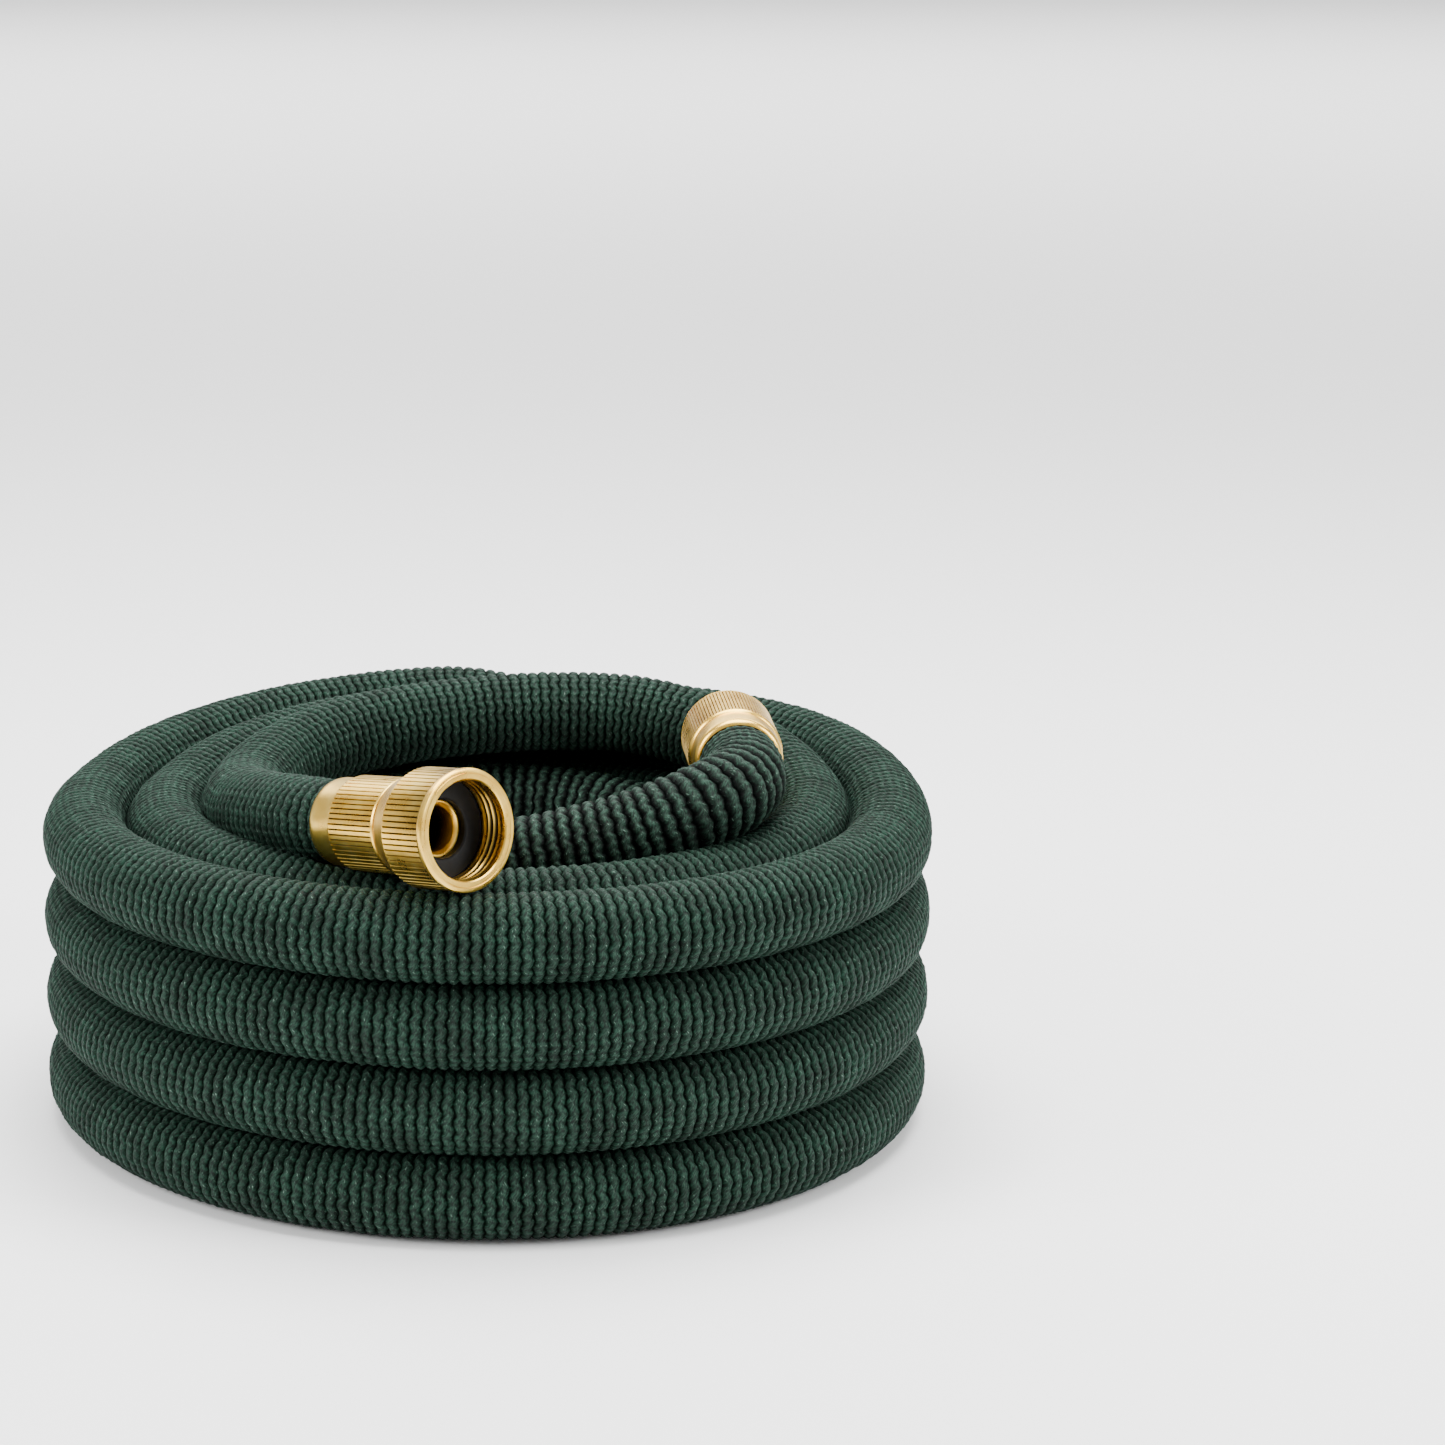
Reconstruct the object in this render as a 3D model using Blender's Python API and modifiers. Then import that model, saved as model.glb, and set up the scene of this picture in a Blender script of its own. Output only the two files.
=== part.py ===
"""Garden hose, coiled, with a swivel inlet coupling and a threaded outlet fitting.

Metres, +Z up. The origin is on the floor, under the middle of the coil.
"""
import math

import bmesh
import bpy
from mathutils import Vector

# Hose
HOSE_DIAMETER = 0.023
HOSE_SIDES_RESOLUTION = 3

# Coil: turns lie beside each other and in layers on each other, pressed together a little
OUTER_TURN_RADIUS = 0.1105
TURN_PRESS = 0.0005
LAYER_PRESS = 0.0006
COIL_LAYERS = 4
INNER_TURN_LAYERS = 2
FLOOR_FLAT = 0.006
ARC_STEP_DEGREES = 34.0
COIL_STEPS = 48

# Clearances
PIECE_GAP = 0.0003
NEST_GAP = 0.0004
WELD_DISTANCE = 0.00001

# Inlet coupling, along its own axis from the hose to the mouth
INLET_FACE_CENTRE = (-0.0052, -0.1087, 0.1055)
INLET_AXIS = (0.665, -0.732, 0.149)
COLLAR_LENGTH = 0.0080
COLLAR_DIAMETER = 0.0230
SLEEVE_LENGTH = 0.0268
SLEEVE_DIAMETER = 0.0246
NUT_LENGTH = 0.0216
NUT_SHOULDER_LENGTH = 0.0043
NUT_NECK_DIAMETER = 0.0252
NUT_RIM_LENGTH = 0.0025
NUT_BACK_WALL = 0.0064
NUT_SOCKET_DIAMETER = 0.0262
NUT_WALL = 0.0022
NUT_RIM_WALL = 0.0025
SWIVEL_GAP = 0.0005
STEM_DIAMETER = 0.0180
WATERWAY_DIAMETER = 0.0120
FLANGE_THICKNESS = 0.0025
WASHER_THICKNESS = 0.0030
WASHER_BORE = 0.0160
BRASS_CHAMFER = 0.0007

# Outlet fitting, along its own axis from the hose to the thread's end
OUTLET_REAR_CENTRE = (0.0675, -0.0240, 0.1012)
OUTLET_AXIS = (-0.039, 0.999, 0.024)
OUTLET_COLLAR_LENGTH = 0.0080
OUTLET_COLLAR_DIAMETER = 0.0244
OUTLET_SLEEVE_LENGTH = 0.0300
OUTLET_SLEEVE_DIAMETER = 0.0257
OUTLET_RELIEF_LENGTH = 0.0012
OUTLET_RELIEF_DIAMETER = 0.0192
OUTLET_THREAD_LENGTH = 0.0070
OUTLET_THREAD_DIAMETER = 0.0209

ROUND_STEPS = 40

# Colours, linear
FABRIC_GREEN = (0.012, 0.048, 0.027)
BRASS_GOLD = (0.68, 0.43, 0.17)
RUBBER_BLACK = (0.010, 0.010, 0.011)

# Routes of the two free stretches, chosen by hand; each starts where it leaves its fitting
INLET_ROUTE = (
    (-0.0585, -0.0425, 0.0922),
    (-0.0652, -0.0200, 0.0882),
    (-0.0653, 0.0040, 0.0865),
    (-0.0584, 0.0270, 0.0880),
    (-0.0442, 0.0455, 0.0904),
    (-0.0240, 0.0575, 0.0924),
    (-0.0016, 0.0640, 0.0938),
    (0.0215, 0.0665, 0.0944),
    (0.0434, 0.0650, 0.0936),
    (0.0629, 0.0565, 0.0906),
    (0.0775, 0.0410, 0.0864),
    (0.0863, 0.0200, 0.0828),
    (0.0886, -0.0020, 0.0808),
    (0.0857, -0.0215, 0.0796),
    (0.0782, -0.0405, 0.0790),
)
OUTLET_ROUTE = (
    (0.0668, -0.0425, 0.1004),
    (0.0622, -0.0505, 0.0993),
    (0.0550, -0.0560, 0.0974),
    (0.0468, -0.0590, 0.0946),
    (0.0365, -0.0605, 0.0912),
    (0.0225, -0.0610, 0.0876),
    (0.0046, -0.0603, 0.0835),
    (-0.0152, -0.0578, 0.0790),
    (-0.0357, -0.0520, 0.0738),
    (-0.0518, -0.0400, 0.0686),
    (-0.0625, -0.0200, 0.0643),
    (-0.0645, 0.0030, 0.0630),
    (-0.0575, 0.0260, 0.0635),
    (-0.0433, 0.0455, 0.0646),
    (-0.0235, 0.0590, 0.0661),
    (0.0009, 0.0655, 0.0668),
    (0.0247, 0.0625, 0.0663),
    (0.0460, 0.0505, 0.0644),
    (0.0598, 0.0320, 0.0610),
    (0.0655, 0.0100, 0.0580),
    (0.0640, -0.0130, 0.0563),
    (0.0540, -0.0360, 0.0560),
)

# Sizes worked out from the ones above
HOSE_RADIUS = HOSE_DIAMETER / 2
TURN_SPACING = HOSE_DIAMETER - TURN_PRESS
LAYER_PITCH = HOSE_DIAMETER - LAYER_PRESS
FIRST_LAYER_HEIGHT = math.sqrt(HOSE_RADIUS ** 2 - (FLOOR_FLAT / 2) ** 2)
INLET_LENGTH = SLEEVE_LENGTH + SWIVEL_GAP + NUT_LENGTH
NUT_START = SLEEVE_LENGTH + SWIVEL_GAP
FLANGE_START = NUT_START + NUT_BACK_WALL + PIECE_GAP
WASHER_START = FLANGE_START + FLANGE_THICKNESS + PIECE_GAP
NUT_KNURL_DIAMETER = NUT_SOCKET_DIAMETER + 2 * NUT_WALL
NUT_RIM_DIAMETER = NUT_SOCKET_DIAMETER + 2 * NUT_RIM_WALL
FLANGE_DIAMETER = NUT_SOCKET_DIAMETER - 2 * PIECE_GAP
SLEEVE_BORE = STEM_DIAMETER + 2 * PIECE_GAP


def clear_scene():
    for old in list(bpy.data.objects):
        bpy.data.objects.remove(old, do_unlink=True)


def new_collection(name):
    group = bpy.data.collections.new(name)
    bpy.context.scene.collection.children.link(group)
    return group


def make_material(name, colour, roughness, metallic):
    material = bpy.data.materials.new(name)
    material.use_nodes = True
    shader = material.node_tree.nodes["Principled BSDF"]
    shader.inputs["Base Color"].default_value = (*colour, 1.0)
    shader.inputs["Roughness"].default_value = roughness
    shader.inputs["Metallic"].default_value = metallic
    return material


def make_cutter(cutter, group):
    """Keep a cutter out of the model: it is only the shape of a cut."""
    cutter.hide_render = True
    cutter.display_type = "WIRE"
    for holder in list(cutter.users_collection):
        holder.objects.unlink(cutter)
    group.objects.link(cutter)
    return cutter


def subtract(target, cutter):
    cut = target.modifiers.new("Cut " + cutter.name, "BOOLEAN")
    cut.operation = "DIFFERENCE"
    cut.solver = "EXACT"
    cut.object = cutter


def turned_solid(name, profile, steps, material, group, closed=True):
    """Turn a profile of (radius, height) points about local Z; the outer side runs downwards."""
    mesh = bpy.data.meshes.new(name)
    shape = bmesh.new()
    points = [shape.verts.new((radius, 0.0, height)) for radius, height in profile]
    for start, end in zip(points, points[1:]):
        shape.edges.new((start, end))
    if closed:
        shape.edges.new((points[-1], points[0]))
    shape.to_mesh(mesh)
    shape.free()
    turned = bpy.data.objects.new(name, mesh)
    group.objects.link(turned)
    screw = turned.modifiers.new("Turn", "SCREW")
    screw.angle = math.tau
    screw.steps = steps
    screw.render_steps = steps
    screw.use_merge_vertices = True
    screw.merge_threshold = WELD_DISTANCE
    screw.use_smooth_shade = True
    mesh.materials.append(material)
    return turned


def tube_curve(name, path, radius, material, group):
    curve = bpy.data.curves.new(name, "CURVE")
    curve.dimensions = "3D"
    curve.bevel_depth = radius
    curve.bevel_resolution = HOSE_SIDES_RESOLUTION
    curve.use_fill_caps = True
    curve.materials.append(material)
    spline = curve.splines.new("POLY")
    spline.points.add(len(path) - 1)
    for point, place in zip(spline.points, path):
        point.co = (*place, 1.0)
    spline.use_smooth = True
    tube = bpy.data.objects.new(name, curve)
    group.objects.link(tube)
    return tube


def tube_mesh(name, path, radius, material, group):
    """A tube as a mesh with welded caps, so that it can cut or be cut."""
    curve = tube_curve(name + "_line", path, radius, material, group)
    bpy.context.view_layer.update()
    evaluated = curve.evaluated_get(bpy.context.evaluated_depsgraph_get())
    mesh = bpy.data.meshes.new_from_object(evaluated)
    mesh.name = name
    shape = bmesh.new()
    shape.from_mesh(mesh)
    bmesh.ops.remove_doubles(shape, verts=shape.verts, dist=WELD_DISTANCE)
    shape.to_mesh(mesh)
    shape.free()
    tube = bpy.data.objects.new(name, mesh)
    tube.matrix_world = curve.matrix_world
    group.objects.link(tube)
    bpy.data.objects.remove(curve, do_unlink=True)
    return tube


def axis_empty(name, centre, axis, group):
    """An empty whose local Z runs along an axis."""
    empty = bpy.data.objects.new(name, None)
    empty.location = centre
    empty.rotation_mode = "QUATERNION"
    empty.rotation_quaternion = Vector(axis).to_track_quat("Z", "Y")
    group.objects.link(empty)
    return empty


def put_on(child, parent, along=0.0):
    child.parent = parent
    child.location = (0.0, 0.0, along)


def turn_radius(turn):
    """Centre-line radius of a turn, counted inwards from the outermost."""
    return OUTER_TURN_RADIUS - turn * TURN_SPACING


def layer_height(layer):
    """Height of a layer's centre line, counted upwards from the floor."""
    return FIRST_LAYER_HEIGHT + layer * LAYER_PITCH


def coil_arc(turn, layer, start, end):
    """Points on one turn's outline, clockwise from start to end degrees, without the last."""
    count = max(1, math.ceil((start - end) / ARC_STEP_DEGREES))
    points = []
    for step in range(count):
        angle = math.radians(start + (end - start) * step / count)
        radius = turn_radius(turn) + HOSE_RADIUS * math.cos(angle)
        height = layer_height(layer) + HOSE_RADIUS * math.sin(angle)
        points.append((radius, height))
    return points


def coil_outline():
    """Outline of the bundle of turns: down the outer side, under it and up the inside."""
    above = math.degrees(math.asin(LAYER_PITCH / 2 / HOSE_RADIUS))
    beside = math.degrees(math.asin(TURN_SPACING / 2 / HOSE_RADIUS))
    flat = math.degrees(math.asin(FLOOR_FLAT / 2 / HOSE_RADIUS))
    top = COIL_LAYERS - 1
    inner_top = INNER_TURN_LAYERS - 1
    outline = coil_arc(0, top, 90 + beside, -above)
    for layer in range(top - 1, 0, -1):
        outline += coil_arc(0, layer, above, -above)
    outline += coil_arc(0, 0, above, -90 + flat)
    outline += coil_arc(0, 0, -90 + flat, -90 - flat)
    outline += coil_arc(0, 0, -90 - flat, -90 - beside)
    outline += coil_arc(1, 0, -90 + beside, -90 + flat)
    outline += coil_arc(1, 0, -90 + flat, -90 - flat)
    outline += coil_arc(1, 0, -90 - flat, -90 - beside)
    outline += coil_arc(2, 0, -90 + beside, -90 + flat)
    outline += coil_arc(2, 0, -90 + flat, -90 - flat)
    outline += coil_arc(2, 0, -90 - flat, -180 - above)
    for layer in range(1, inner_top):
        outline += coil_arc(2, layer, -180 + above, -180 - above)
    outline += coil_arc(2, inner_top, -180 + above, -270 - beside)
    outline += coil_arc(1, inner_top, -270 + beside, -180 - above)
    for layer in range(inner_top + 1, top):
        outline += coil_arc(1, layer, -180 + above, -180 - above)
    outline += coil_arc(1, top, -180 + above, -270 - beside)
    return outline


def hose_path(fitting_end, axis, route, extra=0.0):
    """Centre line of a free stretch, straight out of its fitting; extra lengthens both ends."""
    start = fitting_end - axis * (PIECE_GAP - extra)
    path = [start, fitting_end - axis * HOSE_RADIUS]
    path += [Vector(point) for point in route]
    end_direction = (path[-1] - path[-2]).normalized()
    path[-1] = path[-1] + end_direction * extra
    return path


def inlet_path(extra=0.0):
    axis = Vector(INLET_AXIS).normalized()
    tail = Vector(INLET_FACE_CENTRE) - axis * INLET_LENGTH
    return hose_path(tail, axis, INLET_ROUTE, extra)


def outlet_path(extra=0.0):
    axis = Vector(OUTLET_AXIS).normalized()
    return hose_path(Vector(OUTLET_REAR_CENTRE), axis, OUTLET_ROUTE, extra)


def build_coil(group, cutters, material):
    """The wound turns, with beds where the free stretches and fittings press into them."""
    coil = turned_solid("hose_coil", coil_outline(), COIL_STEPS, material, group)
    bed_radius = HOSE_RADIUS + NEST_GAP
    inlet_bed = tube_mesh("bed_inlet", inlet_path(NEST_GAP), bed_radius, material, cutters)
    outlet_bed = tube_mesh("bed_outlet", outlet_path(NEST_GAP), bed_radius, material, cutters)
    for bed in (inlet_bed, outlet_bed):
        make_cutter(bed, cutters)
        subtract(coil, bed)
    return coil


def build_coupling_beds(coil, cutters, inlet, outlet, material):
    """Hollows that the weight of the brass presses into the top turns."""
    sleeve = SLEEVE_DIAMETER / 2 + NEST_GAP
    rim = NUT_RIM_DIAMETER / 2 + NEST_GAP
    neck = NUT_NECK_DIAMETER / 2 + NEST_GAP
    shoulder_end = NUT_START + NUT_SHOULDER_LENGTH
    inlet_bed = turned_solid("bed_inlet_coupling", (
        (0.0, INLET_LENGTH + NEST_GAP),
        (rim, INLET_LENGTH + NEST_GAP),
        (rim, shoulder_end),
        (neck, NUT_START),
        (sleeve, NUT_START),
        (sleeve, -HOSE_RADIUS),
        (0.0, -HOSE_RADIUS),
    ), ROUND_STEPS, material, cutters, closed=False)
    put_on(inlet_bed, inlet)
    outlet_length = OUTLET_SLEEVE_LENGTH + OUTLET_RELIEF_LENGTH + OUTLET_THREAD_LENGTH
    outlet_radius = OUTLET_SLEEVE_DIAMETER / 2 + NEST_GAP
    outlet_bed = turned_solid("bed_outlet_fitting", (
        (0.0, outlet_length + NEST_GAP),
        (outlet_radius, outlet_length + NEST_GAP),
        (outlet_radius, -NEST_GAP),
        (0.0, -NEST_GAP),
    ), ROUND_STEPS, material, cutters, closed=False)
    put_on(outlet_bed, outlet)
    for bed in (inlet_bed, outlet_bed):
        make_cutter(bed, cutters)
        subtract(coil, bed)


def build_inlet_sleeve(group, parent, material):
    collar = COLLAR_DIAMETER / 2
    grip = SLEEVE_DIAMETER / 2
    bore = SLEEVE_BORE / 2
    sleeve = turned_solid("inlet_sleeve", (
        (grip - BRASS_CHAMFER, SLEEVE_LENGTH),
        (grip, SLEEVE_LENGTH - BRASS_CHAMFER),
        (grip, COLLAR_LENGTH + BRASS_CHAMFER),
        (collar, COLLAR_LENGTH),
        (collar, BRASS_CHAMFER),
        (collar - BRASS_CHAMFER, 0.0),
        (bore, 0.0),
        (bore, SLEEVE_LENGTH),
    ), ROUND_STEPS, material, group)
    put_on(sleeve, parent)
    return sleeve


def build_inlet_tailpiece(group, parent, material):
    stem = STEM_DIAMETER / 2
    flange = FLANGE_DIAMETER / 2
    waterway = WATERWAY_DIAMETER / 2
    tailpiece = turned_solid("inlet_tailpiece", (
        (flange, FLANGE_START + FLANGE_THICKNESS),
        (flange, FLANGE_START),
        (stem, FLANGE_START),
        (stem, 0.0),
        (waterway, 0.0),
        (waterway, FLANGE_START + FLANGE_THICKNESS),
    ), ROUND_STEPS, material, group)
    put_on(tailpiece, parent)
    return tailpiece


def build_swivel_nut(group, pivot, material):
    """Female nut: it turns on the tailpiece's flange about the coupling's axis."""
    neck = NUT_NECK_DIAMETER / 2
    knurl = NUT_KNURL_DIAMETER / 2
    rim = NUT_RIM_DIAMETER / 2
    socket = NUT_SOCKET_DIAMETER / 2
    back_hole = SLEEVE_BORE / 2
    nut = turned_solid("swivel_nut", (
        (rim - BRASS_CHAMFER, NUT_LENGTH),
        (rim, NUT_LENGTH - BRASS_CHAMFER),
        (rim, NUT_LENGTH - NUT_RIM_LENGTH),
        (knurl, NUT_LENGTH - NUT_RIM_LENGTH - BRASS_CHAMFER),
        (knurl, NUT_SHOULDER_LENGTH),
        (neck, 0.0),
        (back_hole, 0.0),
        (back_hole, NUT_BACK_WALL),
        (socket, NUT_BACK_WALL),
        (socket, NUT_LENGTH - BRASS_CHAMFER),
        (socket + BRASS_CHAMFER, NUT_LENGTH),
    ), ROUND_STEPS, material, group)
    put_on(nut, pivot)
    return nut


def build_sealing_washer(group, pivot, material):
    outer = NUT_SOCKET_DIAMETER / 2 - PIECE_GAP
    inner = WASHER_BORE / 2
    seat = WASHER_START - NUT_START
    washer = turned_solid("sealing_washer", (
        (outer, seat + WASHER_THICKNESS),
        (outer, seat),
        (inner, seat),
        (inner, seat + WASHER_THICKNESS),
    ), ROUND_STEPS, material, group)
    put_on(washer, pivot)
    return washer


def build_outlet_sleeve(group, parent, material):
    collar = OUTLET_COLLAR_DIAMETER / 2
    grip = OUTLET_SLEEVE_DIAMETER / 2
    bore = SLEEVE_BORE / 2
    sleeve = turned_solid("outlet_sleeve", (
        (grip - BRASS_CHAMFER, OUTLET_SLEEVE_LENGTH),
        (grip, OUTLET_SLEEVE_LENGTH - BRASS_CHAMFER),
        (grip, OUTLET_COLLAR_LENGTH + BRASS_CHAMFER),
        (collar, OUTLET_COLLAR_LENGTH),
        (collar, BRASS_CHAMFER),
        (collar - BRASS_CHAMFER, 0.0),
        (bore, 0.0),
        (bore, OUTLET_SLEEVE_LENGTH),
    ), ROUND_STEPS, material, group)
    put_on(sleeve, parent)
    return sleeve


def build_outlet_threaded_end(group, parent, material):
    stem = STEM_DIAMETER / 2
    relief = OUTLET_RELIEF_DIAMETER / 2
    thread = OUTLET_THREAD_DIAMETER / 2
    waterway = WATERWAY_DIAMETER / 2
    start = OUTLET_SLEEVE_LENGTH + PIECE_GAP
    thread_start = start + OUTLET_RELIEF_LENGTH
    end = thread_start + OUTLET_THREAD_LENGTH
    threaded_end = turned_solid("outlet_threaded_end", (
        (thread - BRASS_CHAMFER, end),
        (thread, end - BRASS_CHAMFER),
        (thread, thread_start),
        (relief, thread_start),
        (relief, start),
        (stem, start),
        (stem, 0.0),
        (waterway, 0.0),
        (waterway, end),
    ), ROUND_STEPS, material, group)
    put_on(threaded_end, parent)
    return threaded_end


def main():
    clear_scene()
    group = new_collection("garden_hose")
    cutters = new_collection("cutters")

    fabric = make_material("hose_fabric", FABRIC_GREEN, roughness=0.85, metallic=0.0)
    brass = make_material("brass", BRASS_GOLD, roughness=0.30, metallic=1.0)
    rubber = make_material("washer_rubber", RUBBER_BLACK, roughness=0.60, metallic=0.0)

    inlet_axis = Vector(INLET_AXIS).normalized()
    inlet_tail = Vector(INLET_FACE_CENTRE) - inlet_axis * INLET_LENGTH
    inlet = axis_empty("inlet_axis", inlet_tail, inlet_axis, group)
    outlet = axis_empty("outlet_axis", OUTLET_REAR_CENTRE, OUTLET_AXIS, group)
    nut_pivot = axis_empty("nut_pivot", inlet_tail + inlet_axis * NUT_START, inlet_axis, group)

    coil = build_coil(group, cutters, fabric)
    build_coupling_beds(coil, cutters, inlet, outlet, fabric)
    tube_curve("hose_inlet_stretch", inlet_path(), HOSE_RADIUS, fabric, group)
    tube_curve("hose_outlet_stretch", outlet_path(), HOSE_RADIUS, fabric, group)

    build_inlet_sleeve(group, inlet, brass)
    build_inlet_tailpiece(group, inlet, brass)
    build_swivel_nut(group, nut_pivot, brass)
    build_sealing_washer(group, nut_pivot, rubber)
    build_outlet_sleeve(group, outlet, brass)
    build_outlet_threaded_end(group, outlet, brass)


main()
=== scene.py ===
"""Looks of a coiled garden hose with brass couplings: knitted cover, turned brass and rubber.

Metres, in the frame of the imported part. The camera stands where the photograph was taken from.
"""
import math
import random

import bmesh
import bpy
import numpy as np
from mathutils import Matrix, Vector


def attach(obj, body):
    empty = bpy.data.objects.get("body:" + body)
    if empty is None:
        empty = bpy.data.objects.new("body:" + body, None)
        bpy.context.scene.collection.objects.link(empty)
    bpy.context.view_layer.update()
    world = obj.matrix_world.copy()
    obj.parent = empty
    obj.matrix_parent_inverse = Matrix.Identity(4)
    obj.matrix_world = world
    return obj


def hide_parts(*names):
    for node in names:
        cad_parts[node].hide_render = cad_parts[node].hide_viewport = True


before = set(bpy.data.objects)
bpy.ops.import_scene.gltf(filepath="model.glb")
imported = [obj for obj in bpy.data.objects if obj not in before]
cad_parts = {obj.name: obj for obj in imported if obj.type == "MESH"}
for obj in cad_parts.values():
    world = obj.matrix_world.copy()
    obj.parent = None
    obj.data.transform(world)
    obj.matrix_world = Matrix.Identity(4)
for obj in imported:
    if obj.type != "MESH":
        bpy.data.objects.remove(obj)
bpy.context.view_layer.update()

# Hose, as in the part's source
HOSE_RADIUS = 0.0115
OUTER_TURN_RADIUS = 0.1105
TURN_SPACING = 0.0225
LAYER_PITCH = 0.0224
FIRST_LAYER_HEIGHT = 0.0111
INLET_FACE_CENTRE = Vector((-0.0052, -0.1087, 0.1055))
INLET_AXIS = Vector((0.665, -0.732, 0.149)).normalized()
INLET_LENGTH = 0.0489
NUT_START = 0.0273
OUTLET_REAR_CENTRE = Vector((0.0675, -0.0240, 0.1012))
OUTLET_AXIS = Vector((-0.039, 0.999, 0.024)).normalized()
OUTLET_LENGTH = 0.0385
INLET_ROUTE = (
    (-0.0585, -0.0425, 0.0922),
    (-0.0652, -0.0200, 0.0882),
    (-0.0653, 0.0040, 0.0865),
    (-0.0584, 0.0270, 0.0880),
    (-0.0442, 0.0455, 0.0904),
    (-0.0240, 0.0575, 0.0924),
    (-0.0016, 0.0640, 0.0938),
    (0.0215, 0.0665, 0.0944),
    (0.0434, 0.0650, 0.0936),
    (0.0629, 0.0565, 0.0906),
    (0.0775, 0.0410, 0.0864),
    (0.0863, 0.0200, 0.0828),
    (0.0886, -0.0020, 0.0808),
    (0.0857, -0.0215, 0.0796),
    (0.0782, -0.0405, 0.0790),
)
OUTLET_ROUTE = (
    (0.0668, -0.0425, 0.1004),
    (0.0622, -0.0505, 0.0993),
    (0.0550, -0.0560, 0.0974),
    (0.0468, -0.0590, 0.0946),
    (0.0365, -0.0605, 0.0912),
    (0.0225, -0.0610, 0.0876),
    (0.0046, -0.0603, 0.0835),
    (-0.0152, -0.0578, 0.0790),
    (-0.0357, -0.0520, 0.0738),
    (-0.0518, -0.0400, 0.0686),
    (-0.0625, -0.0200, 0.0643),
    (-0.0645, 0.0030, 0.0630),
    (-0.0575, 0.0260, 0.0635),
    (-0.0433, 0.0455, 0.0646),
    (-0.0235, 0.0590, 0.0661),
    (0.0009, 0.0655, 0.0668),
    (0.0247, 0.0625, 0.0663),
    (0.0460, 0.0505, 0.0644),
    (0.0598, 0.0320, 0.0610),
    (0.0655, 0.0100, 0.0580),
    (0.0640, -0.0130, 0.0563),
    (0.0540, -0.0360, 0.0560),
)

# Winding: each stay gives the turn counted from outside, the layer counted from the floor, and the
# degrees where the hose starts and leaves it. Between two stays it crosses from one to the next
INLET_WINDING = (
    (1, 3, -36, -270),
    (0, 3, -333, -622),
    (0, 2, -672, -982),
    (0, 1, -1032, -1342),
    (0, 0, -1392, -1670),
    (1, 0, -1720, -1998),
    (1, 1, -2048, -2358),
    (1, 2, -2408, -2740),
)
OUTLET_WINDING = (
    (2, 1, -98, -358),
    (2, 0, -408, -690),
)
OUTLET_LANDING_DEGREES = -38
OUTLET_LANDING_HEIGHT = 0.0558
DEGREES_A_POINT = 6.0
STEPS_A_POINT = 24

# The layers lie slack at the back, so the turns rise there, most at this angle from the far point
BACK_RISE = 0.0088
RISE_TURN = math.radians(14)

# Knitted cover: courses run round the hose like ribs, and each rib waves from stitch to stitch
RIB_PITCH = 0.00287
OUTLET_RIB_PITCH = 0.0036
RIB_DEPTH = 0.00100
OUTLET_RIB_DEPTH = 0.0013
OUTLET_RIB_PAIRING = 0.0009
RIB_ROUNDNESS = 0.30
RIB_FULLNESS = (0.88, 1.04)
ROWS_A_RIB = 4
STITCHES_ROUND = 15
STITCH_SWAY = 0.00031
SWAY_UNEVENNESS = (0.35, 0.25)
STITCH_DRIFT = 0.9
DRIFT_SHARE = 0.35
LOOP_HEIGHT = 0.10
RIPPLE_HEIGHT = 0.07

# The hose narrows by the neck where a sleeve grips it, and starts a tuck inside the sleeve
NECK = 0.00075
NECK_RUN = 0.012
HOSE_TUCK = 0.0006
FREE_LENGTH = 0.10
GRIP_BED_RADIUS = 0.0124
NUT_BED_RADIUS = 0.0157
FITTING_BED_RADIUS = 0.0132
MERGE = 0.000001

# Runs that each line is cut into: name, length and stitches. The last takes what is left
FINE = {"stitches": STITCHES_ROUND, "sides_a_stitch": 4}
COARSE = {"stitches": STITCHES_ROUND, "sides_a_stitch": 2}
PLAIN = {"stitches": 8, "sides_a_stitch": 2}
ALL_THAT_IS_LEFT = 9.0
INLET_RUNS = (
    ("hose_inlet_run", 0.92, FINE),
    ("hose_top_turn", 0.70, FINE),
    ("hose_third_turn", 0.69, FINE),
    ("hose_second_turn", 0.69, FINE),
    ("hose_floor_turn", 0.69, FINE),
    ("hose_hidden_floor_turn", 0.58, PLAIN),
    ("hose_hidden_second_turn", 0.55, PLAIN),
    ("hose_hidden_third_turn", ALL_THAT_IS_LEFT, COARSE),
)
OUTLET_RUNS = (
    ("hose_outlet_run", 0.62, FINE),
    ("hose_inner_turns", ALL_THAT_IS_LEFT, COARSE),
)
RUNS_IN_BEDS = 2

# Brass: knurls as (count, lowest and highest height, radius of the wall), threads as (lowest and
# highest height, inner and outer radius of the wall, depth), where a minus cuts outwards
SLEEVE_KNURL = (57, 0.00945, 0.02595, 0.0123)
NUT_KNURL = (66, 0.00655, 0.01965, 0.0153)
OUTLET_KNURL = (88, 0.00925, 0.02925, 0.01285)
KNURL_DEPTH = 0.00042
KNURL_LAND = 0.74
KNURL_MARGIN = 0.0002
STEPS_A_KNURL = 6
SOCKET_THREAD = (0.0133, 0.0203, 0.0120, 0.0127, -0.0006)
OUTLET_THREAD = (0.0316, 0.0382, 0.0103, 0.0106, 0.0009)
THREAD_PITCH = 0.0019
THREAD_FULLNESS = 0.7
THREAD_ROWS = 66
THREAD_STEPS = 160
PLAIN_STEPS = 96
SHARP_EDGE = math.radians(32)

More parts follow.
